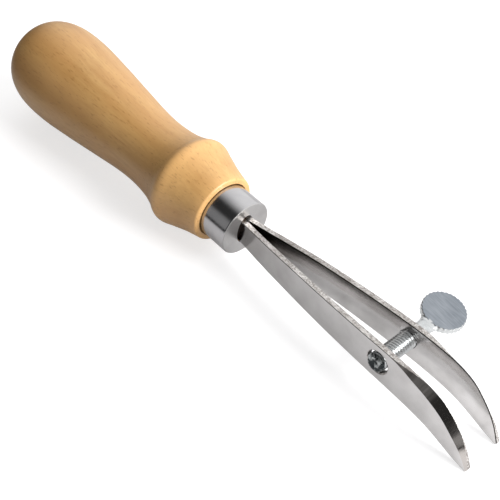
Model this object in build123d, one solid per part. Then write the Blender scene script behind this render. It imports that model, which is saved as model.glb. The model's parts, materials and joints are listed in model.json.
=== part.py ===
from build123d import *
import math
import os

# Adjustable edge creaser for leather: a turned handle, a steel ferrule, two sprung
# steel blades side by side, and a thumb screw that pulls the blades together.
#
# Everything is drawn in the tool's own frame, in millimetres: X runs along the tool
# towards the blade tips with its zero on the ferrule's front face, Y runs across the
# blades towards the thumb screw's head, and Z points up out of the blades' convex
# edges. The last step lays the tool on a table, on its collar and its two blade tips,
# and puts the origin on the table under the middle of the tool.

# Handle
HANDLE_LENGTH = 88.2        # butt to the shoulder that the ferrule meets
BELLY_R = 14.6              # fullest part, in the palm
BELLY_AT = 18.9             # its distance from the butt
WAIST_R = 10.5              # where thumb and finger close
COLLAR_R = 13.4             # bead that stops the hand
COLLAR_AT = 74.3            # its distance from the butt
RIM_R = 9.9                 # wood's end, round the ferrule
RIM_ROUND = 0.8
TENON_GAP = 0.05            # glue line between the tenon and the ferrule
BORE_R = 4.0                # hole for the tangs in the wood
BORE_DEPTH = 42.0           # from the ferrule's front face

# Ferrule
FERRULE_R = 8.0
FERRULE_LENGTH = 8.8
FERRULE_WALL = 1.0
FERRULE_FRONT = 1.2         # thickness of its front wall
FERRULE_CHAMFER = 0.35
PUNCHED_Y = 2.7             # half width of the oval hole that the blades come out of
PUNCHED_Z = 4.6             # half its height
PUNCHED_AT = -0.15          # height of its middle, level with the middle of the tangs

# Blades
BLADE_T = 1.6               # strip thickness
BLADE_REACH = 82.0          # ferrule's front face to the tips
BOW_AT = 69.8               # where the pair is widest
BOW_Y = 6.6                 # outer face's distance from the middle plane there
BOW_R = 490.0               # radius the strips are bowed to
TANG_LENGTH = 38.0          # inside the ferrule and handle
TANG_TOP = 3.4
TANG_FOOT = -3.3
TIP_TOP_Z = -6.4
TIP_FOOT_Z = -7.2
EDGE_BEVEL = 2.1            # width of the ground bevel on the convex edge
FLEX_AT = 8.0               # where the strip's bending is gathered into one hinge
FLEX_SLIT = 0.15

# Thumb screw, M5 x 0.8
SCREW_AT = 52.2
SCREW_Z = 2.4
SCREW_R = 2.5
SCREW_TAIL = 1.0            # how far its end stands out of the near blade
SCREW_CHAMFER = 0.6
COLLAR_FLANGE_R = 3.7       # shoulder that bears on the far blade
COLLAR_FLANGE_T = 0.7
NECK_R = 2.15
HEAD_R = 5.9
HEAD_T = 1.8
HEAD_Y = 18.2               # middle of the coin-shaped head
HEAD_TURN = 5.7             # degrees that the head stands turned, at this screw setting
NEAR_HOLE_R = 3.1
FAR_HOLE_R = 2.8
BEARING_GAP = 0.2           # between the shoulder and the far blade's outer face

TALL = 60.0                 # cutting blocks reach past everything


def outer_face_y(x):
    """Distance of a blade's outer face from the middle plane, x from the ferrule."""
    return BOW_Y - BOW_R + math.sqrt(BOW_R**2 - (x - BOW_AT) ** 2)


def make_handle():
    """Turned grip, revolved about X, with a tenon for the ferrule and a bore."""
    shoulder = -FERRULE_LENGTH
    butt = shoulder - HANDLE_LENGTH

    def at(distance, radius):
        return (butt + distance, radius)

    outline = [
        at(0.0, 0.0),
        at(0.6, 6.0),
        at(3.3, 11.2),
        at(9.4, 14.05),
        at(BELLY_AT, BELLY_R),
        at(31.0, 13.5),
        at(43.0, 12.0),
        at(54.0, 10.7),
        at(61.0, WAIST_R),
        at(67.3, 11.1),
        at(71.0, 12.4),
        at(COLLAR_AT, COLLAR_R),
        at(78.0, 12.5),
        at(83.0, 10.9),
        (shoulder - RIM_ROUND, RIM_R),
    ]
    tenon_r = FERRULE_R - FERRULE_WALL - TENON_GAP
    tenon_end = -FERRULE_FRONT - TENON_GAP
    with BuildSketch(Plane.XY) as section:
        with BuildLine():
            Spline(outline, tangents=[(0, 1), (1, -0.18)])
            RadiusArc(outline[-1], (shoulder, RIM_R - RIM_ROUND), RIM_ROUND)
            Polyline(
                (shoulder, RIM_R - RIM_ROUND),
                (shoulder, tenon_r),
                (tenon_end, tenon_r),
                (tenon_end, BORE_R),
                (-BORE_DEPTH, BORE_R),
                (-BORE_DEPTH, 0),
                outline[0],
            )
        make_face()
    return revolve(section.sketch, axis=Axis.X)


def make_ferrule():
    """Drawn steel cup with an oval hole punched in its front wall."""
    with BuildSketch(Plane.XY) as section:
        with BuildLine():
            Polyline(
                (-FERRULE_LENGTH, FERRULE_R - FERRULE_WALL),
                (-FERRULE_LENGTH, FERRULE_R),
                (-FERRULE_CHAMFER, FERRULE_R),
                (0, FERRULE_R - FERRULE_CHAMFER),
                (0, 0),
                (-FERRULE_FRONT, 0),
                (-FERRULE_FRONT, FERRULE_R - FERRULE_WALL),
                (-FERRULE_LENGTH, FERRULE_R - FERRULE_WALL),
            )
        make_face()
    cup = revolve(section.sketch, axis=Axis.X)
    punch = extrude(Plane.YZ * Ellipse(PUNCHED_Y, PUNCHED_Z), amount=TALL / 2, both=True)
    return cup - Pos(0, 0, PUNCHED_AT) * punch


def blade_side():
    """Blade seen from the side: a widening strip that ends in a downturned beak."""
    with BuildSketch(Plane.XZ) as side:
        with BuildLine():
            Polyline((-TANG_LENGTH, TANG_FOOT + 0.8), (-TANG_LENGTH, TANG_TOP - 0.8), (0, TANG_TOP))
            Spline(
                (0, TANG_TOP),
                (25, 5.55),
                (50, 7.15),
                (58, 7.4),
                (65, 7.15),
                (71, 5.6),
                (77, 1.0),
                (BLADE_REACH, TIP_TOP_Z),
                tangents=[(1, 0.11), (0.5, -1)],
            )
            Line((BLADE_REACH, TIP_TOP_Z), (BLADE_REACH - 0.4, TIP_FOOT_Z))
            Spline(
                (BLADE_REACH - 0.4, TIP_FOOT_Z),
                (75, -5.5),
                (68, -3.55),
                (60, -2.95),
                (50, -2.95),
                tangents=[(-1, 0.25), (-50, -0.75)],
            )
            Line((50, -2.95), (0, TANG_FOOT - 0.4))
            Polyline((0, TANG_FOOT - 0.4), (-2, TANG_FOOT), (-TANG_LENGTH, TANG_FOOT + 0.8))
        make_face()
    return side.sketch


def blade_plan():
    """Blade seen from above: the tang lies along the middle plane, the rest is bowed."""
    bow_start = BOW_AT - math.sqrt(BOW_R**2 - (BOW_R - BOW_Y + BLADE_T) ** 2)
    bow_end = BLADE_REACH + 1
    bow_middle = (bow_start + bow_end) / 2
    outer = [(x, outer_face_y(x)) for x in (bow_start, bow_middle, bow_end)]
    inner = [(x, outer_face_y(x) - BLADE_T) for x in (bow_start, bow_middle, bow_end)]
    with BuildSketch(Plane.XY) as plan:
        with BuildLine():
            ThreePointArc(*outer)
            Line(outer[-1], inner[-1])
            ThreePointArc(*reversed(inner))
            Polyline(inner[0], (-TANG_LENGTH, 0), (-TANG_LENGTH, BLADE_T), outer[0])
        make_face()
    return plan.sketch


def edge_bevel():
    """Wedge of metal that is ground off the outer side of the convex edge."""
    inner_y = BOW_Y - BLADE_T - 0.1
    outer_y = BOW_Y + 0.3
    run = [(56, 7.8), (65, 7.3), (71, 5.75), (77, 1.15), (82.3, -6.6)]
    depths = [0.0, 0.75, 1.0, 0.9, 0.45]
    lean = [(0, -1), (-0.25, -1), (-0.65, -0.76), (-0.8, -0.6), (-0.87, -0.5)]
    widening = (outer_y - inner_y) / BLADE_T

    def outline(y, share):
        edge = [
            (x + lean_x * depth * share, y, z + lean_z * depth * share)
            for (x, z), depth, (lean_x, lean_z) in zip(run, depths, lean)
        ]
        corners = [(95, y, -14), (95, y, 20), (56, y, 20)]
        curve = Spline(*edge)
        sides = Polyline(edge[-1], *corners, edge[0])
        return Face(Wire([curve, *sides.edges()]))

    return loft([outline(inner_y, 0), outline(outer_y, EDGE_BEVEL * widening)], ruled=True)


def make_blade():
    """Far blade, whole: strip, ground bevel and the hole that the screw passes."""
    strip = extrude(blade_plan(), amount=TALL / 2, both=True)
    side = extrude(blade_side(), amount=TALL / 2, both=True)
    return (strip & side) - edge_bevel()


def screw_hole(radius):
    """Drill for the screw's hole in a blade, along Y."""
    return Pos(SCREW_AT, 0, SCREW_Z) * Rot(90, 0, 0) * Cylinder(radius, TALL)


def split_at_flex(blade):
    """Tang end and working end of one strip, parted where the spring bends."""
    block = Box(200, TALL, TALL)
    tang_end = blade & (Pos(FLEX_AT - FLEX_SLIT / 2 - 100, 0, 0) * block)
    working_end = blade & (Pos(FLEX_AT + FLEX_SLIT / 2 + 100, 0, 0) * block)
    return tang_end, working_end


def make_adhesive(tangs):
    """Hardened epoxy that fills the bore round the two tangs."""
    start = -BORE_DEPTH + 0.5
    end = -FERRULE_FRONT
    plug = Rot(0, 90, 0) * Cylinder(BORE_R - TENON_GAP / 2, end - start)
    plug = Pos((start + end) / 2, 0, 0) * plug
    for tang in tangs:
        plug = plug - tang
    return plug


def make_screw():
    """Thumb screw: threaded shank, bearing shoulder, neck and coin-shaped head."""
    tail = -outer_face_y(SCREW_AT) - SCREW_TAIL
    shoulder = outer_face_y(SCREW_AT) + BEARING_GAP
    neck_end = HEAD_Y - HEAD_R + 0.6
    with BuildSketch(Plane.XY) as section:
        with BuildLine():
            Polyline(
                (0, tail),
                (SCREW_R - SCREW_CHAMFER, tail),
                (SCREW_R, tail + SCREW_CHAMFER),
                (SCREW_R, shoulder),
                (COLLAR_FLANGE_R, shoulder),
                (COLLAR_FLANGE_R, shoulder + COLLAR_FLANGE_T),
                (NECK_R, shoulder + COLLAR_FLANGE_T + 0.4),
                (NECK_R, neck_end),
                (0, neck_end),
                (0, tail),
            )
        make_face()
    shank = Pos(SCREW_AT, 0, SCREW_Z) * revolve(section.sketch, axis=Axis.Y)
    coin = Cylinder(HEAD_R, HEAD_T)
    coin = chamfer(coin.edges().filter_by(GeomType.CIRCLE), 0.2)
    return shank + Pos(SCREW_AT, HEAD_Y, SCREW_Z) * Rot(0, HEAD_TURN, 0) * coin


def lay_on_table(nodes):
    """Tilt the tool onto its collar and blade tips and centre it over the origin."""
    collar_x = COLLAR_AT - HANDLE_LENGTH - FERRULE_LENGTH
    tip_x = BLADE_REACH - 0.4
    tilt = math.degrees(math.atan2(COLLAR_R + TIP_FOOT_Z, tip_x - collar_x))
    tilted = {name: Rot(0, tilt, 0) * shape for name, shape in nodes.items()}
    boxes = [shape.bounding_box() for shape in tilted.values()]
    low = [min(tuple(box.min)[k] for box in boxes) for k in range(3)]
    high = [max(tuple(box.max)[k] for box in boxes) for k in range(3)]
    to_origin = Pos(-(low[0] + high[0]) / 2, -(low[1] + high[1]) / 2, -low[2])
    print("tilted by", tilt, "degrees, then moved by", to_origin.position, "mm")
    return {name: to_origin * shape for name, shape in tilted.items()}


def build():
    far = make_blade()
    near = mirror(far, about=Plane.XZ)
    far_tang, far_blade = split_at_flex(far - screw_hole(FAR_HOLE_R))
    near_tang, near_blade = split_at_flex(near - screw_hole(NEAR_HOLE_R))
    return lay_on_table(
        {
            "handle": make_handle(),
            "ferrule": make_ferrule(),
            "tang_adhesive": make_adhesive([near_tang, far_tang]),
            "near_blade_tang": near_tang,
            "far_blade_tang": far_tang,
            "near_blade": near_blade,
            "far_blade": far_blade,
            "thumb_screw": make_screw(),
        }
    )


os.makedirs("parts", exist_ok=True)
for name, shape in build().items():
    shape.label = name
    export_step(shape, f"parts/{name}.step")
    print(name, round(shape.volume, 1), "mm3")
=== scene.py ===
# %% [markdown]
# # An adjustable edge creaser
# Leatherworkers press this tool along the edge of a strap. One blade runs outside the
# edge, the other one marks a line on the face, and a thumb screw sets the distance.
# It has a turned wooden handle, a polished ferrule, two sprung steel blades and the screw.
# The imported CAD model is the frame: it says where everything is and what moves.

# %% Load the frame
import json
import math
import random

import bmesh
import bpy
from mathutils import Matrix, Vector
from mathutils.geometry import interpolate_bezier


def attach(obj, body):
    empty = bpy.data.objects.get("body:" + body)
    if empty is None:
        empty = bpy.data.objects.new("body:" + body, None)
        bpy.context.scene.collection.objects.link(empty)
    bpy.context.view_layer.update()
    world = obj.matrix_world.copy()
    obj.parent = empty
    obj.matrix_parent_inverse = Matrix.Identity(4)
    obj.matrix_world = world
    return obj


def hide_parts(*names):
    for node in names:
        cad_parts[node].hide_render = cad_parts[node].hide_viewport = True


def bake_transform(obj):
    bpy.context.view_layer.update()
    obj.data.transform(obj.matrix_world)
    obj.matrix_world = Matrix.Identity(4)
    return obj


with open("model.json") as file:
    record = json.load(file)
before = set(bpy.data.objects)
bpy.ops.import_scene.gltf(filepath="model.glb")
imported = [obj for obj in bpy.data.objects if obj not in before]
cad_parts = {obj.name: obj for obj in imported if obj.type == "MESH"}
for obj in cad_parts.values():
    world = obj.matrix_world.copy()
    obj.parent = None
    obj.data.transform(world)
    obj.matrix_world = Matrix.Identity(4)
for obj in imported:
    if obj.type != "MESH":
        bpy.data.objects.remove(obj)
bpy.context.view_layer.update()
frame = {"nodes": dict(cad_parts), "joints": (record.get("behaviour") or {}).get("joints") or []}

print("CAD nodes:", sorted(frame["nodes"]))

# %% [markdown]
# ## The tool's own axes
# The tool lies on the table tilted by a few degrees, which makes it awkward to draw.
# So each piece is drawn in millimetres along the tool's own axes: x towards the blade tips
# from the ferrule's front face, y across the blades towards the screw's head, z up.
# The joints give those axes: both blades bend about z, and the screw turns about -y.

# %% Axes from the joints
MM = 0.001
FLEX_AT = 8.0
joints = {joint["name"]: joint for joint in frame["joints"]}
tool_z = Vector(joints["near_blade_flex"]["axis"]).normalized()
tool_y = -Vector(joints["screw_turn"]["axis"]).normalized()
tool_x = tool_y.cross(tool_z)
flex_points = [Vector(joints[name]["pos_m"]) for name in ("near_blade_flex", "far_blade_flex")]
tool_origin = (flex_points[0] + flex_points[1]) / 2 - FLEX_AT * MM * tool_x
TOOL_TURN = Matrix((tool_x, tool_y, tool_z)).transposed()
TOOL = Matrix.Translation(tool_origin) @ TOOL_TURN.to_4x4() @ Matrix.Scale(MM, 4)

screw_in_tool = TOOL.inverted() @ Vector(joints["screw_turn"]["pos_m"])
SCREW_AT = screw_in_tool.x
SCREW_Z = screw_in_tool.z
SCREW_CENTRE = (SCREW_AT, 0, SCREW_Z)
print("tool tilted by", round(math.degrees(math.asin(-tool_x.z)), 2), "degrees")
print("screw at x", round(SCREW_AT, 2), "z", round(SCREW_Z, 2), "mm")

# %% [markdown]
# ## From a bmesh to a finished piece
# A bmesh is Blender's workbench for a mesh. When a shape is done it is laid on the table
# with one matrix, so that the object itself stays at the origin, and faces that meet at
# a small angle are shaded smoothly, while real edges stay crisp.

# %% Finish a piece
WELD = 0.002


def finish_piece(shape, name, materials, sharp_degrees=32):
    """Lay a shape in place, and make it an object with these materials."""
    bmesh.ops.remove_doubles(shape, verts=shape.verts, dist=WELD)
    bmesh.ops.recalc_face_normals(shape, faces=shape.faces)
    bmesh.ops.transform(shape, matrix=TOOL, verts=shape.verts)
    for face in shape.faces:
        face.smooth = True
    mesh = bpy.data.meshes.new(name)
    shape.to_mesh(mesh)
    shape.free()
    mesh.set_sharp_from_angle(angle=math.radians(sharp_degrees))
    for material in materials:
        mesh.materials.append(material)
    piece = bpy.data.objects.new(name, mesh)
    bpy.context.scene.collection.objects.link(piece)
    print(name, len(mesh.polygons), "faces")
    return piece


# %% [markdown]
# ## Lathe work
# The handle, the ferrule, and the screw's neck and coin are turned shapes. A Screw
# modifier could make them too, but the bmesh spin is applied at once, so that the shape
# can still be squeezed or knurled afterwards. It turns an outline of points once round,
# merges the last position with the first, and leaves each pole to be welded.


# %% Lathe
def lathe(shape, outline, axis, centre=(0, 0, 0), steps=144):
    """Spin an outline of (along, radius) points in mm about the X or Y axis."""
    axis = Vector(axis)
    outward = Vector((0, 1, 0)) if axis.x else Vector((1, 0, 0))
    centre = Vector(centre)
    points = [shape.verts.new(centre + axis * along + outward * r) for along, r in outline]
    edges = [shape.edges.new(pair) for pair in zip(points, points[1:])]
    bmesh.ops.spin(
        shape,
        geom=points + edges,
        cent=centre,
        axis=axis,
        angle=math.tau,
        steps=steps,
        use_merge=True,
    )
    bmesh.ops.remove_doubles(shape, verts=shape.verts, dist=WELD)


# %% [markdown]
# A turner's curves flow into each other. So only a few stations are measured, and each
# span between two of them is a Bezier curve that keeps the direction of its neighbours.


# %% Smooth outline
def smooth_outline(stations, steps=8):
    """A smooth curve through (along, radius) stations, as Bezier spans."""
    points = [Vector((along, r, 0)) for along, r in stations]
    slopes = [(after - before) / 6 for before, after in zip(points, points[2:])]
    slopes = [Vector((0, slopes[0].length, 0))] + slopes + [(points[-1] - points[-2]) / 3]
    curve = []
    for span in range(len(points) - 1):
        start, end = points[span], points[span + 1]
        reach = (end - start).length / 3
        leave = start + slopes[span].normalized() * reach
        arrive = end - slopes[span + 1].normalized() * reach
        spots = interpolate_bezier(start, leave, arrive, end, steps + 1)
        curve += spots[:-1]
    curve.append(points[-1])
    return [(spot.x, max(spot.y, 0.0)) for spot in curve]


# %% [markdown]
# ## Material helpers
# Colours are written as the hex values a screen shows. Blender's nodes want linear light,
# so one function converts them. One more function adds a node, sets it up and links it.


# %% Colour helper
def linear(hex_colour):
    """A screen colour such as "C99A5E" as linear red, green, blue and alpha."""
    channels = [int(hex_colour[i : i + 2], 16) / 255 for i in (0, 2, 4)]
    light = [c / 12.92 if c <= 0.04045 else ((c + 0.055) / 1.055) ** 2.4 for c in channels]
    return (*light, 1.0)


# %% Node helper
def add(tree, kind, inputs=None, **settings):
    """Add a node; inputs are values or other nodes' sockets, by name or number."""
    made = tree.nodes.new(kind)
    for name, value in settings.items():
        setattr(made, name, value)
    for socket, value in (inputs or {}).items():
        if isinstance(value, bpy.types.NodeSocket):
            tree.links.new(value, made.inputs[socket])
        else:
            made.inputs[socket].default_value = value
    return made


# A Mix node has one pair of sockets for each type; these are its colours and its result.
MIX_A, MIX_B, MIX_RESULT = 6, 7, 2


# %% New material
def new_material(name):
    """An empty material: its node tree and the shader that ends it."""
    material = bpy.data.materials.new(name)
    material.use_nodes = True
    tree = material.node_tree
    tree.nodes.clear()
    shader = add(tree, "ShaderNodeBsdfPrincipled")
    add(tree, "ShaderNodeOutputMaterial", {"Surface": shader.outputs["BSDF"]})
    return material, tree, shader


# %% [markdown]
# Every pattern is drawn on Object coordinates, turned back to the tool's own axes and
# counted in millimetres. So grain and scratches follow the tool and not the table, and
# a size in a pattern is a real size.


# %% Tool coordinates
def tool_millimetres(tree):
    """Object coordinates turned into millimetres along the tool's own axes."""
    coordinates = add(tree, "ShaderNodeTexCoord")
    back = TOOL.inverted()
    return add(
        tree,
        "ShaderNodeMapping",
        {
            "Vector": coordinates.outputs["Object"],
            "Location": back.translation,
            "Rotation": back.to_euler(),
            "Scale": (1 / MM, 1 / MM, 1 / MM),
        },
    ).outputs["Vector"]


# %% [markdown]
# ## Turned beech
# The handle is beech: pale tan, with a fine straight grain along the tool, darker
# growth rings, and thousands of short brown flecks, the wood's rays. It was sanded on
# the lathe and wiped with a satin lacquer, so it shines softly.
# A Wave texture could draw the rings, but it is too regular for beech. So all of it is
# noise, stretched along the grain: far for the rings and fibres, less for the flecks, of
# which only the peaks are kept. Real flecks are 0.1 mm wide and too fine to show, so they
# are drawn 0.4 mm wide.

# %% Grain patterns
beech, tree, shader = new_material("turned_beech_satin_lacquer")
place = tool_millimetres(tree)
# Each row: name, size of a mark along x, y and z in mm, shift, detail, roughness.
GRAIN = (
    ("rings", (83.333, 5.0, 8.3333), (0, 3.3, 0), 3.0, 0.55),
    ("fibres", (22.222, 0.55, 0.55), (0, 0, 0), 2.0, 0.5),
    ("flecks", (2.5, 0.4, 0.4), (5, 0, 0), 1.0, 0.5),
    ("clouds", (14.2857, 14.2857, 14.2857), (0, 0, 0), 2.0, 0.5),
)
grain = {}
for name, mark_size, shift, detail, roughness in GRAIN:
    streaks = add(
        tree,
        "ShaderNodeMapping",
        {"Vector": place, "Scale": [1 / size for size in mark_size], "Location": shift},
    )
    noise = add(
        tree,
        "ShaderNodeTexNoise",
        {
            "Vector": streaks.outputs["Vector"],
            "Scale": 1.0,
            "Detail": detail,
            "Roughness": roughness,
        },
    )
    grain[name] = noise.outputs["Fac"]
    print(name, "marks of", mark_size, "mm")

# %% [markdown]
# Noise gives every value between 0 and 1, mostly near the middle. A Map Range picks the
# part of it that counts, and how strongly it tints the wood at most.

# %% How much of each pattern
# Each row: name, the noise where it starts, the noise where it is full, most, and how.
AMOUNTS = (
    ("rings", 0.35, 0.65, 1.0, "SMOOTHSTEP"),
    ("fibres", 0.3, 0.75, 0.5, "LINEAR"),
    ("flecks", 0.6, 0.74, 0.4, "LINEAR"),
    ("clouds", 0.35, 0.65, 0.6, "LINEAR"),
)
amounts = {}
for name, starts, full, most, how in AMOUNTS:
    amounts[name] = add(
        tree,
        "ShaderNodeMapRange",
        {"Value": grain[name], "From Min": starts, "From Max": full, "To Max": most},
        interpolation_type=how,
    ).outputs[0]

# %% [markdown]
# The bead and the collar in front of it get a painted highlight, paler and warmer than the
# grip, most of all on the bead's crest and at the front rim. A colour ramp along the tool
# adds that, with its stops where the turned shape changes.

# %% Painted highlight on the bead and collar
BEAD_HIGHLIGHT_FROM = -97.0
BEAD_HIGHLIGHT_TO = -8.0
# Each stop: x in mm, and how strong the painted highlight is there.
BEAD_HIGHLIGHT = (
    (-34.0, 0.0),
    (-25.5, 0.04),
    (-22.6, 0.6),
    (-19.0, 0.34),
    (-14.5, 0.12),
    (-11.5, 0.3),
    (-9.6, 0.6),
)
along = add(tree, "ShaderNodeSeparateXYZ", {0: place})
share = add(
    tree,
    "ShaderNodeMapRange",
    {"Value": along.outputs["X"], "From Min": BEAD_HIGHLIGHT_FROM, "From Max": BEAD_HIGHLIGHT_TO},
)
# Painted highlight: the ramp pales the wood on the bead's crest and at the front rim.
bead_highlight = add(tree, "ShaderNodeValToRGB", {0: share.outputs[0]})
stops = bead_highlight.color_ramp.elements
for at, amount in BEAD_HIGHLIGHT:
    stop = stops.new((at - BEAD_HIGHLIGHT_FROM) / (BEAD_HIGHLIGHT_TO - BEAD_HIGHLIGHT_FROM))
    stop.color = (amount, amount, amount, 1.0)
stops.remove(stops[0])
stops.remove(stops[-1])
amounts["bead_highlight"] = bead_highlight.outputs[0]
print("pale stops:", len(stops))

# %% [markdown]
# The colours are laid over each other like glazes: early and late wood first, then the
# fibres, the clouds and the painted highlight on the bead, and last the flecks, which stay
# brown everywhere.
# The same fibres raise the surface by a hair and make the lacquer's shine uneven.

# %% Colour and lacquer
WOOD_IOR = 1.5
wood = add(
    tree,
    "ShaderNodeMix",
    {0: amounts["rings"], MIX_A: linear("B88A50"), MIX_B: linear("CBA166")},
    data_type="RGBA",
)
# The pale glaze after the clouds is the painted highlight on the bead and rim.
GLAZES = (("fibres", "AA7B45"), ("clouds", "C39359"), ("bead_highlight", "EBB877"), ("flecks", "8E5E2E"))
for name, colour in GLAZES:
    wood = add(
        tree,
        "ShaderNodeMix",
        {0: amounts[name], MIX_A: wood.outputs[MIX_RESULT], MIX_B: linear(colour)},
        data_type="RGBA",
    )
grain_height = add(
    tree,
    "ShaderNodeBump",
    {"Height": grain["fibres"], "Strength": 0.12, "Distance": 0.05 * MM},
)
sheen = add(
    tree,
    "ShaderNodeMapRange",
    {"Value": grain["fibres"], "To Min": 0.36, "To Max": 0.5},
)
shader.inputs["Coat Weight"].default_value = 0.25
shader.inputs["Coat Roughness"].default_value = 0.28
shader.inputs["IOR"].default_value = WOOD_IOR
tree.links.new(wood.outputs[MIX_RESULT], shader.inputs["Base Color"])
tree.links.new(sheen.outputs[0], shader.inputs["Roughness"])
tree.links.new(grain_height.outputs[0], shader.inputs["Normal"])
print(beech.name, len(tree.nodes), "nodes")

# %% [markdown]
# ## Steel
# All the metal is bare or plated steel, so it is fully metallic, and the shapes it
# reflects give it its look. What changes from part to part is how the surface was made:
# turned, faced, belt polished, sheared, ground, or zinc plated.
# One function makes them all: two tones, a roughness that varies, and marks of a given
# size that are drawn out along one of the tool's axes. Real scratches are hundredths of
# a millimetre wide and too fine to show, so the finest marks are drawn 0.3 mm wide.

# %% Size of the smears
SMEAR_SIZE = 6.25
print("smears of", SMEAR_SIZE, "mm")

# %% [markdown]
# Where the blades come together they shade each other, so their inner flats get a painted
# shade there. It thins out along the blade, with an edge made ragged by the smears:
# their noise, from 0 to 1, moves it back by up to 30 mm.

# %% Painted shade in the fork
FORK_SHADE_RAGGED = 30.0


def fork_shade_left(tree, place, smears, start, end):
    """How much painted shade is left: all of it before start, none of it after end."""
    along = add(tree, "ShaderNodeSeparateXYZ", {0: place})
    ragged = add(
        tree,
        "ShaderNodeMath",
        {0: smears.outputs["Fac"], 1: FORK_SHADE_RAGGED, 2: along.outputs["X"]},
        operation="MULTIPLY_ADD",
    )
    return add(
        tree,
        "ShaderNodeMapRange",
        {
            "Value": ragged.outputs[0],
            "From Min": start,
            "From Max": end,
            "To Min": 1.0,
            "To Max": 0.0,
        },
        interpolation_type="SMOOTHSTEP",
    ).outputs[0]


# %% [markdown]
# The steel's own function follows. Smears darken it in soft patches and marks in small
# specks, and the marks also set the roughness and a shallow relief.


# %% Steel finishes
def steel(name, colour, dark, roughness, spread, mark_size, depth, speckle=0.0, fork_shade=None):
    """A steel finish; mark_size is how long its marks are along x, y and z, in mm."""
    material, tree, shader = new_material(name)
    place = tool_millimetres(tree)
    drawn_out = add(
        tree, "ShaderNodeMapping", {"Vector": place, "Scale": [1 / size for size in mark_size]}
    )
    marks = add(
        tree,
        "ShaderNodeTexNoise",
        {"Vector": drawn_out.outputs["Vector"], "Scale": 1.0, "Detail": 2.0, "Roughness": 0.6},
    )
    smears = add(
        tree, "ShaderNodeTexNoise", {"Vector": place, "Scale": 1 / SMEAR_SIZE, "Detail": 2.0}
    )
    smear = add(
        tree,
        "ShaderNodeMapRange",
        {"Value": smears.outputs["Fac"], "From Min": 0.35, "From Max": 0.7, "To Max": 0.5},
    )
    speck = add(
        tree,
        "ShaderNodeMapRange",
        {"Value": marks.outputs["Fac"], "From Min": 0.58, "From Max": 0.42, "To Max": speckle},
    )
    shade = add(
        tree,
        "ShaderNodeMath",
        {0: smear.outputs[0], 1: speck.outputs[0]},
        operation="ADD",
        use_clamp=True,
    )
    tint = add(
        tree,
        "ShaderNodeMix",
        {0: shade.outputs[0], MIX_A: linear(colour), MIX_B: linear(dark)},
        data_type="RGBA",
    )
    # The optional painted shade darkens a blade's inner flat towards the root.
    if fork_shade:
        fork_shade_colour, start, end = fork_shade
        left = fork_shade_left(tree, place, smears, start, end)
        tint = add(
            tree,
            "ShaderNodeMix",
            {0: left, MIX_A: tint.outputs[MIX_RESULT], MIX_B: linear(fork_shade_colour)},
            data_type="RGBA",
        )
    dullness = add(
        tree,
        "ShaderNodeMapRange",
        {
            "Value": marks.outputs["Fac"],
            "From Min": 0.3,
            "From Max": 0.7,
            "To Min": roughness - spread,
            "To Max": roughness + spread,
        },
    )
    relief = add(
        tree,
        "ShaderNodeBump",
        {"Height": marks.outputs["Fac"], "Strength": 1.0, "Distance": depth * MM},
    )
    shader.inputs["Metallic"].default_value = 1.0
    tree.links.new(tint.outputs[MIX_RESULT], shader.inputs["Base Color"])
    tree.links.new(dullness.outputs[0], shader.inputs["Roughness"])
    tree.links.new(relief.outputs[0], shader.inputs["Normal"])
    print(name, "marks", mark_size, "mm, roughness", roughness)
    return material


# %% [markdown]
# The ferrule was turned and polished on the lathe, so its marks run round it, and it
# mirrors the room. Its front was faced with a tool and stays a little duller.

# %% Ferrule finishes
ferrule_polish = steel(
    "polished_steel_turned",
    colour="BAB9BA",
    dark="A6A5A8",
    roughness=0.18,
    spread=0.03,
    mark_size=(0.3, 6.0, 6.0),
    depth=0.001,
)
ferrule_face = steel(
    "polished_steel_faced",
    colour="BAB9B8",
    dark="A09E9D",
    roughness=0.32,
    spread=0.05,
    mark_size=(3.0, 0.9, 0.9),
    depth=0.005,
)

# %% [markdown]
# The blades' flats were polished along the blade on a belt, which leaves a satin mirror
# with long faint streaks. The inner flats have the same polish, with painted shade in the fork.

# %% Flats of the blades
blade_satin = steel(
    "spring_steel_satin",
    colour="CAC8C7",
    dark="AFACAB",
    roughness=0.17,
    spread=0.03,
    mark_size=(12.0, 3.0, 0.5),
    depth=0.0012,
)
blade_inside = steel(
    "spring_steel_satin_inside_fork_shade",
    colour="D2D0CF",
    dark="A8A5A3",
    roughness=0.17,
    spread=0.03,
    mark_size=(12.0, 3.0, 0.5),
    depth=0.0012,
    # Painted shade: the inner flats darken towards the root, where the blades shade each other.
    fork_shade=("6E6966", 12.0, 44.0),
)

# %% [markdown]
# Shearing tears the steel, so the long edges are rough and sparkle, and the burr strip on
# their inner side is near black. The bevel was ground last, and mirrors the most.

# %% Edges of the blades
blade_sheared = steel(
    "spring_steel_sheared",
    colour="DCD9D6",
    dark="8A8480",
    roughness=0.36,
    spread=0.1,
    mark_size=(0.45, 0.4, 0.4),
    depth=0.02,
    speckle=0.8,
)
blade_burr_and_bore_shade = steel(
    "spring_steel_burr_and_bore_shade",
    colour="3A3633",
    dark="221F1D",
    roughness=0.45,
    spread=0.1,
    mark_size=(0.5, 0.4, 0.4),
    depth=0.02,
    speckle=0.5,
)
blade_ground = steel(
    "spring_steel_ground",
    colour="BDB8B4",
    dark="AAA49F",
    roughness=0.09,
    spread=0.02,
    mark_size=(0.4, 3.0, 6.0),
    depth=0.001,
)

# %% [markdown]
# The screw is zinc plated, which is bluer and softer than bare steel. Its end was peened
# over, so it is pitted, and its pits are painted near black as painted shade. The coin was
# stamped from rolled sheet, whose straight rolling lines still show.

# %% Screw finishes
screw_zinc = steel(
    "zinc_plated_steel",
    colour="CDCFCF",
    dark="A9ACAE",
    roughness=0.24,
    spread=0.06,
    mark_size=(0.8, 0.4, 0.8),
    depth=0.006,
)
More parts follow.
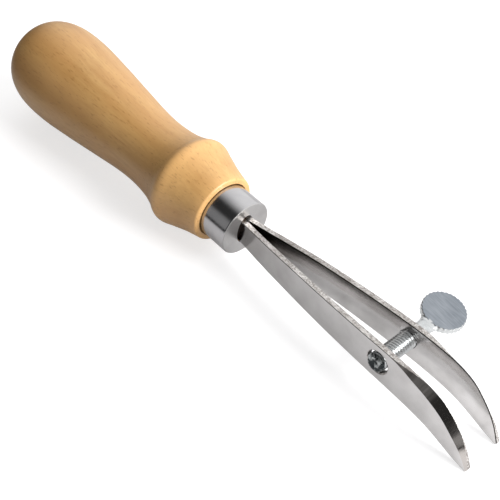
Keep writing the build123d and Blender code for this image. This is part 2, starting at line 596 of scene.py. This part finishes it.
# Painted shade: near black (2E3233) in the pits of the screw's end.
screw_end = steel(
    "zinc_plated_steel_peened_painted_shade",
    colour="C3C7C7",
    dark="2E3233",
    roughness=0.3,
    spread=0.08,
    mark_size=(1.1, 1.1, 1.3),
    depth=0.12,
    speckle=1.0,
)
head_stamped = steel(
    "zinc_plated_steel_stamped",
    colour="989DA3",
    dark="7B8188",
    roughness=0.42,
    spread=0.06,
    mark_size=(9.0, 0.28, 0.5),
    depth=0.02,
    speckle=0.5,
)

# %% [markdown]
# ## Epoxy in the bore
# The two tangs are glued into the bore, and the glue is just visible round the blades'
# roots as a dark brown filling. The CAD shape is right for it as it is, so the node
# stays and only gets this material. Blender's noise makes it lumpy, as it sets unevenly.

# %% Epoxy
LUMP_SIZE = 1.111
LUMP_DEPTH = 0.1
epoxy, tree, shader = new_material("epoxy_hardened_brown")
place = tool_millimetres(tree)
lumps = add(tree, "ShaderNodeTexNoise", {"Vector": place, "Scale": 1 / LUMP_SIZE, "Detail": 3.0})
tint = add(
    tree,
    "ShaderNodeMix",
    {0: lumps.outputs["Fac"], MIX_A: linear("1E1511"), MIX_B: linear("4A3527")},
    data_type="RGBA",
)
relief = add(
    tree,
    "ShaderNodeBump",
    {"Height": lumps.outputs["Fac"], "Strength": 0.6, "Distance": LUMP_DEPTH * MM},
)
shader.inputs["Roughness"].default_value = 0.35
tree.links.new(tint.outputs[MIX_RESULT], shader.inputs["Base Color"])
tree.links.new(relief.outputs[0], shader.inputs["Normal"])
frame["nodes"]["tang_adhesive"].data.materials.clear()
frame["nodes"]["tang_adhesive"].data.materials.append(epoxy)
print(epoxy.name, "lumps of", LUMP_SIZE, "mm")

# %% [markdown]
# ## The handle
# A turner made it on a lathe, and so does Blender: an outline from butt to rim is
# spun about the tool's axis. The belly fills the palm, the waist is for thumb and finger,
# and the bead stops the hand. The wood ends in a small rounded rim round the ferrule.

# %% Grip outline
FERRULE_LENGTH = 8.8
FERRULE_R = 8.0
HANDLE_LENGTH = 88.2
RIM_R = 9.9
RIM_ROUND = 0.8
butt = -FERRULE_LENGTH - HANDLE_LENGTH
# Each station: distance from the butt and radius, both in mm.
grip_stations = [
    (0.0, 0.0),
    (0.6, 6.0),
    (3.3, 11.2),
    (9.4, 14.05),
    (18.9, 14.62),
    (31.0, 13.5),
    (43.0, 12.0),
    (54.0, 10.7),
    (61.0, 10.5),
    (67.3, 11.1),
    (71.6, 12.25),
    (74.6, 13.4),
    (78.0, 12.45),
    (83.0, 10.9),
    (HANDLE_LENGTH - RIM_ROUND, RIM_R),
]
outline = smooth_outline([(butt + along, r) for along, r in grip_stations])
print("grip outline", len(outline), "points")

# %% [markdown]
# In front, the rim rolls over into a narrow groove round the ferrule, which draws the
# dark line between wood and steel. Inside, the wood fills the ferrule up to its front
# wall and is bored for the tangs, and the bore ends in the wood.

# %% Rim, groove and bore
RIM_STEPS = 6
GROOVE = 0.35
GROOVE_DEPTH = 1.2
GROOVE_ROUND = 0.15
SPIGOT_R = 6.9
SPIGOT_AT = -1.3
BORE_R = 4.0
BORE_END = -42.0
for step in range(1, RIM_STEPS + 1):
    turn = math.radians(90 * step / RIM_STEPS)
    rim_along = -FERRULE_LENGTH - RIM_ROUND + RIM_ROUND * math.sin(turn)
    outline.append((rim_along, RIM_R - RIM_ROUND + RIM_ROUND * math.cos(turn)))
groove_floor = -FERRULE_LENGTH - GROOVE_DEPTH
outline += [
    (-FERRULE_LENGTH, FERRULE_R + GROOVE),
    (-FERRULE_LENGTH - GROOVE_ROUND, FERRULE_R + GROOVE - 0.1),
    (groove_floor, FERRULE_R + GROOVE_ROUND),
    (groove_floor, SPIGOT_R),
    (SPIGOT_AT, SPIGOT_R),
    (SPIGOT_AT, BORE_R),
    (BORE_END, BORE_R),
    (BORE_END, 0.0),
]
shape = bmesh.new()
lathe(shape, outline, (1, 0, 0))
handle = finish_piece(shape, "turned_handle", [beech])
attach(handle, "handle_body")
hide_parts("handle")

# %% [markdown]
# ## The ferrule
# A short steel cup that keeps the wood from splitting where the blades go in. Its
# outside is polished, and its front face has an oval hole, punched for the two tangs.
# The cup is spun round like the handle, with a round hole, which is then squeezed to an
# oval. Its outer edge is broken by a small chamfer that catches a bright line of light.

# %% Ferrule outline
FERRULE_BREAK = 0.3
FERRULE_INSIDE_R = 7.0
FERRULE_WALL = 1.2
PUNCHED_Y = 2.7
PUNCHED_Z = 4.6
PUNCHED_AT = -0.15
ferrule_back = groove_floor + 0.05
ferrule_outline = [
    (ferrule_back, FERRULE_INSIDE_R),
    (ferrule_back, FERRULE_R),
    (-FERRULE_BREAK, FERRULE_R),
    (-0.09, FERRULE_R - 0.09),
    (0.0, FERRULE_R - FERRULE_BREAK),
    (0.0, PUNCHED_Z + 0.25),
    (-0.1, PUNCHED_Z + 0.08),
    (-0.3, PUNCHED_Z),
    (-FERRULE_WALL, PUNCHED_Z),
    (-FERRULE_WALL, FERRULE_INSIDE_R),
    (ferrule_back, FERRULE_INSIDE_R),
]
print("ferrule wall", FERRULE_WALL, "mm, hole", 2 * PUNCHED_Y, "by", 2 * PUNCHED_Z, "mm")

# %% Punched ferrule
HOLE_ZONE = PUNCHED_Z + 0.3
POLISHED, FACED = 0, 1
shape = bmesh.new()
lathe(shape, ferrule_outline, (1, 0, 0))
for vert in shape.verts:
    if math.hypot(vert.co.y, vert.co.z) < HOLE_ZONE:
        vert.co.y *= PUNCHED_Y / PUNCHED_Z
        vert.co.z += PUNCHED_AT
for face in shape.faces:
    in_front = face.calc_center_median().x > -0.05 and abs(face.normal.x) > 0.9
    face.material_index = FACED if in_front else POLISHED
ferrule = finish_piece(
    shape, "steel_ferrule", [ferrule_polish, ferrule_face], sharp_degrees=20
)
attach(ferrule, "handle_body")
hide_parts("ferrule")

# %% [markdown]
# ## The blades
# Each blade was sheared from a strip of spring steel, polished flat, bowed, and ground to
# a crisp bevel on the outer side of its convex edge. Shearing leaves that long edge
# rough, and it sparkles.
# A flat shape with a Solidify modifier could be bowed, but its bevel would be hard to
# taper. A strip has the same few corners all the way, so one cross-section is extruded
# again and again along the blade, and each new section is fitted to the outline.

# %% Bow of the blades
BLADE_T = 1.6
BOW_AT = 69.8
BOW_Y = 6.6
BOW_R = 490.0
TOUCHING_UNTIL = 10.0


def outer_face_y(x):
    """Distance of a blade's outer face from the middle plane."""
    bowed = BOW_Y - BOW_R + math.sqrt(BOW_R**2 - (x - BOW_AT) ** 2)
    return max(bowed, BLADE_T) if x < TOUCHING_UNTIL else bowed


print("blades stand", round(2 * (outer_face_y(SCREW_AT) - BLADE_T), 1), "mm apart at the screw")

# %% [markdown]
# The outline is two lines, the convex top and the hollow foot, and a third list gives the
# bevel's width. All three are smooth curves through a few rows, and they share their
# first number, the share of the way from tang to tip. So a section's top and foot face
# each other squarely across the strip, even where the blade curls down to its tip.

# %% Blade outlines
TANG_END = -38.0
TIP = 82.0
# Each row: share of the way, then x and z in mm.
TOP_LINE = [
    (0.00, TANG_END, 2.6),
    (0.30, 0.0, 3.4),
    (0.50, 25.0, 5.55),
    (0.70, 50.0, 7.15),
    (0.77, 58.0, 7.4),
    (0.83, 65.0, 7.15),
    (0.86, 68.3, 6.55),
    (0.885, 71.0, 5.6),
    (0.91, 73.4, 4.1),
    (0.94, 77.0, 1.0),
    (0.97, 79.7, -2.3),
    (1.00, TIP, -6.4),
]
FOOT_LINE = [
    (0.00, TANG_END, -2.5),
    (0.30, 0.0, -3.7),
    (0.50, 25.0, -3.33),
    (0.70, 50.0, -2.95),
    (0.77, 57.4, -2.9),
    (0.83, 62.8, -3.05),
    (0.86, 65.8, -3.3),
    (0.885, 68.2, -3.6),
    (0.91, 70.8, -4.2),
    (0.94, 74.2, -5.2),
    (0.97, 77.8, -6.3),
    (1.00, TIP - 0.4, -7.2),
]
# Each row: share of the way, then the bevel's width in mm.
BEVEL_WIDTH = [
    (0.0, 0.0),
    (0.74, 0.0),
    (0.775, 0.45),
    (0.81, 1.35),
    (0.85, 2.0),
    (0.885, 2.25),
    (0.93, 1.95),
    (0.965, 1.2),
    (1.0, 0.4),
]
print("blade is", TIP - TANG_END, "mm long with its tang")


# %% Smooth line through rows
def on_line(rows, share):
    """The values at this share of the way, on a smooth curve through the rows."""
    points = [Vector(row) for row in rows]
    last = len(points) - 1
    span = max(i for i in range(last) if share >= rows[i][0] or i == 0)
    before = points[max(span - 1, 0)]
    start, end = points[span], points[span + 1]
    after = points[min(span + 2, last)]
    width = end.x - start.x
    t = (share - start.x) / width
    leave = (end - before) / (end.x - before.x) * width
    arrive = (after - start) / (after.x - start.x) * width
    spot = (
        start * (2 * t**3 - 3 * t**2 + 1)
        + leave * (t**3 - 2 * t**2 + t)
        + end * (3 * t**2 - 2 * t**3)
        + arrive * (t**3 - t**2)
    )
    return spot[1:]


# %% [markdown]
# A section has eight corners: four edges, each broken by a hair, since a perfectly sharp
# edge catches no light. On the outer side the top edge is cut back by the bevel, and on
# the inner side by the burr, which is widest at the root. A little random raggedness
# moves the sheared corners, and fades where the grinding has cleaned them.

# %% Blade section
EDGE_BREAK = 0.12
SHEAR_RAGGED = 0.035
BEVEL_SLOPE = 0.74
BEVEL_MOST = 0.6
CLEAN_WIDTH = 0.9
LAND_LEFT = 0.04
BURR = 0.3
BURR_AT_ROOT = 0.75
BURR_EVEN_FROM = 30


def blade_section(share, side, ragged):
    """Eight corners of the strip's section, from the outer foot round over the top."""
    top_x, top_z = on_line(TOP_LINE, share)
    foot_x, foot_z = on_line(FOOT_LINE, share)
    top, foot = Vector((top_x, 0, top_z)), Vector((foot_x, 0, foot_z))
    down = (foot - top).normalized()
    height = (foot - top).length
    width = min(max(on_line(BEVEL_WIDTH, share)[0], 0.0), height * BEVEL_MOST)
    bevel = width + EDGE_BREAK
    land = EDGE_BREAK + min(width * BEVEL_SLOPE, BLADE_T - 2 * EDGE_BREAK - LAND_LEFT)
    ground = min(width / CLEAN_WIDTH, 1.0)
    top_jitter = SHEAR_RAGGED * ragged[0]
    foot_jitter = SHEAR_RAGGED * ragged[1]
    burr = BURR + (BURR_AT_ROOT - BURR) * min(max(1 - top.x / BURR_EVEN_FROM, 0.0), 1.0)
    # Each corner: depth below the top line, and distance in from the outer face.
    corners = [
        (height - EDGE_BREAK, 0.0),
        (bevel + 0.6 * top_jitter * (1 - ground), 0.0),
        (abs(top_jitter), land),
        (abs(top_jitter) * 0.6, BLADE_T - EDGE_BREAK),
        (burr, BLADE_T),
        (height - EDGE_BREAK, BLADE_T),
        (height - abs(foot_jitter), BLADE_T - EDGE_BREAK),
        (height - abs(foot_jitter), EDGE_BREAK),
    ]
    placed = []
    for depth, inward in corners:
        spot = top + down * depth
        placed.append(Vector((spot.x, side * (outer_face_y(spot.x) - inward), spot.z)))
    return placed


# %% [markdown]
# The first section is a face of eight corners. Its ring of edges is extruded, the new
# ring is moved to the next section, and each new face gets the finish of its side of the
# strip. Both ends are filled last, so that the blade is a closed solid.

# %% Blade strip
BLADE_STEPS = 420
FLAT, SHEARED, GROUND, BURR_AND_BORE_SHADE, INSIDE = 0, 1, 2, 3, 4
STRIP_FINISH = [FLAT, GROUND, SHEARED, BURR_AND_BORE_SHADE, INSIDE, SHEARED, SHEARED, SHEARED]


def blade_strip(side, seed):
    """Extrude the strip's section from tang to tip."""
    chance = random.Random(seed)
    shape = bmesh.new()
    first = blade_section(0.0, side, (0, 0))
    face = shape.faces.new([shape.verts.new(corner) for corner in first])
    ring = list(face.verts)
    shape.faces.remove(face)
    for step in range(1, BLADE_STEPS + 1):
        jitter = (chance.uniform(-1, 1), chance.uniform(-1, 1))
        section = blade_section(step / BLADE_STEPS, side, jitter)
        edges = [shape.edges.get((a, b)) for a, b in zip(ring, ring[1:] + ring[:1])]
        made = bmesh.ops.extrude_edge_only(shape, edges=edges)["geom"]
        verts = [item for item in made if isinstance(item, bmesh.types.BMVert)]
        next_ring = []
        for corner, old in zip(section, ring):
            ends = [edge.other_vert(old) for edge in old.link_edges]
            new = next(end for end in ends if end in verts)
            new.co = corner
            next_ring.append(new)
        for corner, finish in enumerate(STRIP_FINISH):
            sides = (ring[corner], ring[(corner + 1) % len(ring)])
            faces = next_ring[corner].link_faces
            strip_face = next(item for item in faces if all(vert in item.verts for vert in sides))
            strip_face.material_index = finish
        ring = next_ring
    bmesh.ops.holes_fill(shape, edges=shape.edges)
    bmesh.ops.recalc_face_normals(shape, faces=shape.faces)
    return shape


# %% [markdown]
# ## Cutting one shape with another
# The blades are drilled and the thread is trimmed, and an exact Boolean does both. It is
# a modifier, so both shapes become objects for a moment, and the result is read back
# from the evaluated object. Nothing live is left on the piece.


# %% Boolean cut
def cut(shape, cutter, operation):
    """Combine two bmeshes with a Boolean, free them, and hand back the result."""
    pair = []
    for part in (shape, cutter):
        mesh = bpy.data.meshes.new("workpiece")
        part.to_mesh(mesh)
        part.free()
        pair.append(bpy.data.objects.new("workpiece", mesh))
        bpy.context.scene.collection.objects.link(pair[-1])
    boolean = pair[0].modifiers.new("cut", "BOOLEAN")
    boolean.operation = operation
    boolean.solver = "EXACT"
    boolean.object = pair[1]
    bpy.context.view_layer.update()
    seen = pair[0].evaluated_get(bpy.context.evaluated_depsgraph_get())
    result = bmesh.new()
    result.from_mesh(seen.data)
    for workpiece in pair:
        bpy.data.objects.remove(workpiece)
    print(operation.lower(), "leaves", len(result.faces), "faces")
    return result


# %% [markdown]
# The screw passes both blades, so each one is drilled. The near blade's hole is the
# larger one and has a small chamfer, which draws a bright ring round the screw's end.
# The walls of the holes are rough, and near black like the burr strip: painted shade in the
# bores.

# %% Drill sizes
NEAR, FAR = -1, 1
NEAR_HOLE_R = 3.1
CHAMFER_R = 3.4
CHAMFER_DEPTH = 0.22
FAR_HOLE_R = 2.62
THROUGH = 2.5
NEAR_CLEAR = 1.0
FAR_CLEAR = 1.5
near_outer = NEAR * outer_face_y(SCREW_AT)
far_outer = FAR * outer_face_y(SCREW_AT)
near_drill = [
    (near_outer - NEAR_CLEAR, 0.0),
    (near_outer - NEAR_CLEAR, CHAMFER_R),
    (near_outer, CHAMFER_R),
    (near_outer + CHAMFER_DEPTH, NEAR_HOLE_R),
    (near_outer + THROUGH, NEAR_HOLE_R),
    (near_outer + THROUGH, 0.0),
]
far_drill = [
    (far_outer - THROUGH, 0.0),
    (far_outer - THROUGH, FAR_HOLE_R),
    (far_outer + FAR_CLEAR, FAR_HOLE_R),
    (far_outer + FAR_CLEAR, 0.0),
]
print("holes", 2 * NEAR_HOLE_R, "and", 2 * FAR_HOLE_R, "mm across")


# %% Drill
def drill(drill_outline):
    """A lathed drill on the screw's axis; its faces carry the finish they leave behind: painted
    shade on the walls of the holes.
    """
    bit = bmesh.new()
    lathe(bit, drill_outline, (0, 1, 0), SCREW_CENTRE, steps=64)
    bmesh.ops.recalc_face_normals(bit, faces=bit.faces)
    for face in bit.faces:
        # Painted shade: the walls of the holes get the near-black burr finish.
        face.material_index = BURR_AND_BORE_SHADE if abs(face.normal.y) < 0.2 else SHEARED
    return bit


# %% [markdown]
# Each blade is one real strip, made as one piece from its tang to its tip.

# %% Both blades
blade_finishes = [blade_satin, blade_sheared, blade_ground, blade_burr_and_bore_shade, blade_inside]
for side, word, hole, seed in ((NEAR, "near", near_drill, 3), (FAR, "far", far_drill, 8)):
    shape = cut(blade_strip(side, seed), drill(hole), "DIFFERENCE")
    blade = finish_piece(shape, word + "_creasing_blade", blade_finishes, sharp_degrees=25)
    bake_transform(blade)
    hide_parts(word + "_blade_tang", word + "_blade")

# %% [markdown]
# ## The thumb screw
# An M5 screw with a coin-shaped head as a thumb grip. Its thread is a real helix: the
# outline of one V, with small flats at its crest and root, is spun about the screw's
# axis and moved along by one pitch for each turn. A bump could fake the thread, but its
# crests stand out against the floor. A lathed sleeve then trims both ends of the helix,
# and gives the end that stands out of the near blade its chamfer and centre mark.

# %% Thread
PITCH = 0.8
THREAD_R = 2.48
ROOT_R = 2.03
HALF_FLAT = 0.04
THREAD_SEGMENTS = 40
THREAD_WELD = 0.004
SCREW_TAIL = 1.0
BEARING_GAP = 0.2
tail_y = near_outer - SCREW_TAIL
shoulder_y = far_outer + BEARING_GAP


def screw_thread(start_y, end_y):
    """A helix of V threads, longer than needed at both ends."""
    turns = math.ceil((end_y - start_y) / PITCH) + 2
    shape = bmesh.new()
    profile = [
        (0.0, ROOT_R),
        (HALF_FLAT, ROOT_R),
        (PITCH / 2 - HALF_FLAT, THREAD_R),
        (PITCH / 2 + HALF_FLAT, THREAD_R),
        (PITCH - HALF_FLAT, ROOT_R),
        (PITCH, ROOT_R),
    ]
    low = start_y - PITCH * 1.5
    points = [shape.verts.new((SCREW_AT + r, low + along, SCREW_Z)) for along, r in profile]
    edges = [shape.edges.new(pair) for pair in zip(points, points[1:])]
    bmesh.ops.spin(
        shape,
        geom=points + edges,
        cent=SCREW_CENTRE,
        axis=(0, 1, 0),
        dvec=(0, PITCH / THREAD_SEGMENTS, 0),
        angle=math.tau * turns,
        steps=THREAD_SEGMENTS * turns,
    )
    bmesh.ops.remove_doubles(shape, verts=shape.verts, dist=THREAD_WELD)
    bmesh.ops.holes_fill(shape, edges=shape.edges)
    bmesh.ops.recalc_face_normals(shape, faces=shape.faces)
    return shape


# %% Trim the thread
CENTRE_MARK = 0.75
TAIL_CHAMFER = 0.5
SLEEVE_R = THREAD_R + 0.01
sleeve_outline = [
    (tail_y + CENTRE_MARK, 0.0),
    (tail_y + 0.1, 1.15),
    (tail_y, 1.4),
    (tail_y, THREAD_R - TAIL_CHAMFER),
    (tail_y + TAIL_CHAMFER, SLEEVE_R),
    (shoulder_y, SLEEVE_R),
    (shoulder_y, 0.0),
]
sleeve = bmesh.new()
lathe(sleeve, sleeve_outline, (0, 1, 0), SCREW_CENTRE, steps=80)
bmesh.ops.recalc_face_normals(sleeve, faces=sleeve.faces)
screw_shape = cut(screw_thread(tail_y, shoulder_y), sleeve, "INTERSECT")

# %% [markdown]
# The shoulder bears on the far blade, and a slim neck leads from it to the coin. The neck
# was struck flat where the coin begins, so it is turned round first and then squeezed
# more and more towards the coin. The coin itself is turned a few degrees on its stem.


# %% Join two shapes
def join(shape, extra):
    """Add a second bmesh to the first one, and free it."""
    carrier = bpy.data.meshes.new("carrier")
    extra.to_mesh(carrier)
    extra.free()
    shape.from_mesh(carrier)
    bpy.data.meshes.remove(carrier)


# %% Neck
HEAD_R = 5.9
HEAD_T = 1.8
HEAD_Y = 18.2
HEAD_TURN = math.radians(5.7)
SHOULDER_R = 3.68
NECK_R = 2.0
NECK_FLAT = 0.36
coin_starts = HEAD_Y - HEAD_R
flat_from = coin_starts - 2.2
flat_at = coin_starts + 0.1
neck_outline = [
    (shoulder_y - 0.3, 0.0),
    (shoulder_y - 0.3, THREAD_R),
    (shoulder_y, THREAD_R),
    (shoulder_y, SHOULDER_R - 0.13),
    (shoulder_y + 0.12, SHOULDER_R),
    (shoulder_y + 0.6, SHOULDER_R),
    (shoulder_y + 0.75, SHOULDER_R - 0.18),
    (shoulder_y + 1.1, NECK_R),
    (flat_from, NECK_R),
    (coin_starts - 1.0, 2.15),
    (flat_at, 2.5),
    (coin_starts + 0.7, 2.6),
    (coin_starts + 0.7, 0.0),
]
neck = bmesh.new()
lathe(neck, neck_outline, (0, 1, 0), steps=64)
for vert in neck.verts:
    flatness = min(max((vert.co.y - flat_from) / (flat_at - flat_from), 0.0), 1.0)
    vert.co.z *= 1 - (1 - NECK_FLAT) * flatness
head_turned = Matrix.Rotation(HEAD_TURN, 3, "Y")
bmesh.ops.rotate(neck, cent=(0, 0, 0), matrix=head_turned, verts=neck.verts)
bmesh.ops.translate(neck, vec=SCREW_CENTRE, verts=neck.verts)
join(screw_shape, neck)
print("neck", round(coin_starts - shoulder_y, 1), "mm long")

# %% [markdown]
# The coin's rim is knurled with about thirty soft teeth so that it doesn't slip. It is
# lathed with six steps to a tooth, and a cosine then draws the rim in between the teeth.

# %% Coin
TEETH = 31
STEPS_PER_TOOTH = 6
TOOTH_DEPTH = 0.2
TOOTH_ZONE = 0.5
RIM_SOFT = 0.16
RIM_BAND = 0.9
coin_outline = [
    (-HEAD_T / 2, 0.0),
    (-HEAD_T / 2, HEAD_R - RIM_BAND),
    (-HEAD_T / 2, HEAD_R - RIM_SOFT),
    (-HEAD_T / 2 + RIM_SOFT, HEAD_R),
    (HEAD_T / 2 - RIM_SOFT, HEAD_R),
    (HEAD_T / 2, HEAD_R - RIM_SOFT),
    (HEAD_T / 2, HEAD_R - RIM_BAND),
    (HEAD_T / 2, 0.0),
]
coin = bmesh.new()
lathe(coin, coin_outline, (1, 0, 0), steps=TEETH * STEPS_PER_TOOTH)
for vert in coin.verts:
    if math.hypot(vert.co.y, vert.co.z) > HEAD_R - TOOTH_ZONE:
        hollow = 0.5 - 0.5 * math.cos(TEETH * math.atan2(vert.co.z, vert.co.y))
        shrink = 1 - TOOTH_DEPTH * hollow / HEAD_R
        vert.co.y *= shrink
        vert.co.z *= shrink
PLATED, STAMPED, PEENED = 0, 1, 2
for face in coin.faces:
    face.material_index = STAMPED if abs(face.normal.x) > 0.9 else PLATED
lay_flat = Matrix.Rotation(HEAD_TURN, 4, "Y") @ Matrix.Rotation(math.pi / 2, 4, "Y")
bmesh.ops.transform(coin, matrix=lay_flat, verts=coin.verts)
bmesh.ops.translate(coin, vec=(SCREW_AT, HEAD_Y, SCREW_Z), verts=coin.verts)
join(screw_shape, coin)

# %% Finished screw
# The end that stands out of the near blade gets the painted shade in its pits.
for face in screw_shape.faces:
    if face.calc_center_median().y < near_outer + 0.1:
        face.material_index = PEENED
screw_finishes = [screw_zinc, head_stamped, screw_end]
thumb_screw = finish_piece(
    screw_shape, "knurled_thumb_screw", screw_finishes, sharp_degrees=30
)
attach(thumb_screw, "screw_body")
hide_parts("thumb_screw")

# %% [markdown]
# ## Floor
# The tool lies on a sheet of white paper, which glows so that it stays white, and
# polished metal shows what it lies on as much as the lamps above. The steel's black bands
# are a painted dark reflection. One big plane leaves no edge in view: a Light Path node
# tells rays that come from the camera, which see white paper everywhere, from rays that
# come off a shiny surface, which see a dimmer sheet with painted near-black floor beyond.

# %% Floor plane
floor_shape = bmesh.new()
bmesh.ops.create_grid(floor_shape, x_segments=1, y_segments=1, size=3.0)
floor_mesh = bpy.data.meshes.new("floor")
floor_shape.to_mesh(floor_mesh)
floor_shape.free()
floor = bpy.data.objects.new("floor", floor_mesh)
bpy.context.scene.collection.objects.link(floor)
print("floor", round(floor.dimensions.x, 1), "m across")

# %% Paper
PAPER_TEETH_PER_METRE = 900.0
paper, tree, shader = new_material("white_paper_sheet")
spot = add(tree, "ShaderNodeTexCoord").outputs["Object"]
rays_from = add(tree, "ShaderNodeLightPath").outputs
paper_tooth = add(tree, "ShaderNodeTexNoise", {"Vector": spot, "Scale": PAPER_TEETH_PER_METRE})
paper_shade = add(
    tree,
    "ShaderNodeMix",
    {0: paper_tooth.outputs["Fac"], MIX_A: linear("BAB9BA"), MIX_B: linear("C0BFC0")},
    data_type="RGBA",
)
shader.inputs["Roughness"].default_value = 0.9
shader.inputs["Specular IOR Level"].default_value = 0.1
shader.inputs["Emission Color"].default_value = linear("FFFFFF")
floor_mesh.materials.append(paper)

# %% [markdown]
# The painted dark reflection starts at two straight edges of the sheet that the steel sees,
# each given by the direction that points out over it and its distance in metres from the
# middle of the tool. A dot product with that direction says how far out a spot is, and a
# short fade softens the edge.

# %% Painted dark reflection
SHEET_EDGES = (((-0.571, -0.82, 0), 0.07), ((0.696, -0.718, 0), 0.13))
EDGE_FADE = 0.05
beyond = []
for outward, edge in SHEET_EDGES:
    reach = add(tree, "ShaderNodeVectorMath", {0: spot, 1: outward}, operation="DOT_PRODUCT")
    past_edge = add(
        tree,
        "ShaderNodeMapRange",
        {"Value": reach.outputs["Value"], "From Min": edge, "From Max": edge + EDGE_FADE},
    )
    beyond.append(past_edge.outputs[0])
painted_dark_reflection = add(tree, "ShaderNodeMath", {0: beyond[0], 1: beyond[1]}, operation="MAXIMUM")
painted_dark_reflection = add(
    tree,
    "ShaderNodeMath",
    {0: painted_dark_reflection.outputs[0], 1: rays_from["Is Glossy Ray"]},
    operation="MULTIPLY",
)
# Painted dark reflection: glossy rays see near-black floor (1C1B1A) beyond the two edges.
floor_colour = add(
    tree,
    "ShaderNodeMix",
    {0: painted_dark_reflection.outputs[0], MIX_A: paper_shade.outputs[MIX_RESULT], MIX_B: linear("1C1B1A")},
    data_type="RGBA",
)
tree.links.new(floor_colour.outputs[MIX_RESULT], shader.inputs["Base Color"])
print("bench beyond", len(SHEET_EDGES), "edges of the sheet")

# %% [markdown]
# The paper glows a little. The camera sees one even strength, which keeps the floor white
# but leaves the tool's soft shadow in it, and the steel sees a painted reflection whose
# strength grows towards the blades' tips.

# %% Glowing paper and painted reflection
SEEN_GLOW = 0.68
# Painted reflection: only glossy rays see this glow, brighter towards the blade tips.
PAINTED_REFLECTION_GLOW = {"From Min": 0.01, "From Max": 0.09, "To Min": 0.22, "To Max": 0.55}
along = add(tree, "ShaderNodeSeparateXYZ", {0: spot})
painted_reflection = add(tree, "ShaderNodeMapRange", {"Value": along.outputs["X"], **PAINTED_REFLECTION_GLOW})
painted_reflection = add(
    tree,
    "ShaderNodeMath",
    {0: painted_reflection.outputs[0], 1: rays_from["Is Glossy Ray"]},
    operation="MULTIPLY",
)
on_sheet = add(tree, "ShaderNodeMath", {0: 1.0, 1: painted_dark_reflection.outputs[0]}, operation="SUBTRACT")
painted_reflection = add(
    tree,
    "ShaderNodeMath",
    {0: painted_reflection.outputs[0], 1: on_sheet.outputs[0]},
    operation="MULTIPLY",
)
glow_and_painted_reflection = add(
    tree,
    "ShaderNodeMath",
    {0: rays_from["Is Camera Ray"], 1: SEEN_GLOW, 2: painted_reflection.outputs[0]},
    operation="MULTIPLY_ADD",
)
tree.links.new(glow_and_painted_reflection.outputs[0], shader.inputs["Emission Strength"])
print(paper.name, len(tree.nodes), "nodes")

# %% [markdown]
# ## Light
# One square soft box, beyond the blades' tips and a little behind, is the key. It draws
# the soft shadow towards the front and left, and brightens the collar and the tips.

# %% Key light
lamp = bpy.data.lights.new("key_soft_box", "AREA")
lamp.size = 0.42
lamp.energy = 8.0
soft_box = bpy.data.objects.new("key_soft_box", lamp)
soft_box.location = (0.62, 0.22, 0.45)
soft_box.rotation_euler = (-soft_box.location).to_track_quat("-Z", "Y").to_euler()
bpy.context.scene.collection.objects.link(soft_box)
print("key light", round(soft_box.location.length, 2), "m away")

# %% [markdown]
# The rest of the light comes from the room: a big tent behind the tool and two pale
# walls, in a dim room. More lamps could do it, but soft patches painted on the world have
# no edges, so the rounded wood and steel show smooth gradients. The camera itself sees
# plain white behind the floor's far edge.

# %% Room
DIM_ROOM = 0.04
world = bpy.data.worlds.new("studio_room")
world.use_nodes = True
tree = world.node_tree
tree.nodes.clear()
direction = add(tree, "ShaderNodeTexCoord").outputs["Generated"]


def glow(towards, edge, full, strength):
    """A soft patch of light in the room, bright within an angle of a direction."""
    nearness = add(
        tree,
        "ShaderNodeVectorMath",
        {0: direction, 1: Vector(towards).normalized()},
        operation="DOT_PRODUCT",
    )
    return add(
        tree,
        "ShaderNodeMapRange",
        {
            "Value": nearness.outputs["Value"],
            "From Min": edge,
            "From Max": full,
            "To Max": strength,
        },
        interpolation_type="SMOOTHSTEP",
    ).outputs[0]


# %% Light of the room
tent = glow((0.05, 0.88, 0.47), 0.1, 0.85, 1.25)
side_wall = glow((-0.35, -0.9, 0.25), 0.88, 0.98, 0.3)
front_wall = glow((0.9, -0.4, 0.25), 0.72, 0.93, 0.9)
white_behind = add(tree, "ShaderNodeLightPath").outputs["Is Camera Ray"]
total = tent
for light in (side_wall, front_wall, DIM_ROOM, white_behind):
    total = add(tree, "ShaderNodeMath", {0: total, 1: light}, operation="ADD").outputs[0]
room = add(tree, "ShaderNodeBackground", {"Color": linear("FFFFFF"), "Strength": total})
add(tree, "ShaderNodeOutputWorld", {"Surface": room.outputs[0]})
bpy.context.scene.world = world
bpy.context.scene.view_settings.view_transform = "Standard"
print(world.name, len(tree.nodes), "nodes")

# %% [markdown]
# ## Camera
# It looks down on the blades' tips from in front, through a short telephoto lens, so that
# the handle runs away from it. Its three directions are made square to each other first,
# because rounded numbers never quite are.

# %% Camera
CAMERA_AT = (0.13449, -0.13307, 0.17653)
CAMERA_LOOKS = (-0.50376, 0.51964, -0.69007)
CAMERA_UP = (-0.54024, 0.43383, 0.72106)
lens = bpy.data.cameras.new("studio_camera")
lens.sensor_width = 36.0
lens.lens = 66.96
lens.clip_start = 0.01
camera = bpy.data.objects.new("studio_camera", lens)
looking = Vector(CAMERA_LOOKS).normalized()
right = looking.cross(Vector(CAMERA_UP)).normalized()
turn = Matrix((right, right.cross(looking), -looking)).transposed()
camera.matrix_world = Matrix.Translation(CAMERA_AT) @ turn.to_4x4()
bpy.context.scene.collection.objects.link(camera)
bpy.context.scene.camera = camera
print("camera", [round(v, 3) for v in camera.location])
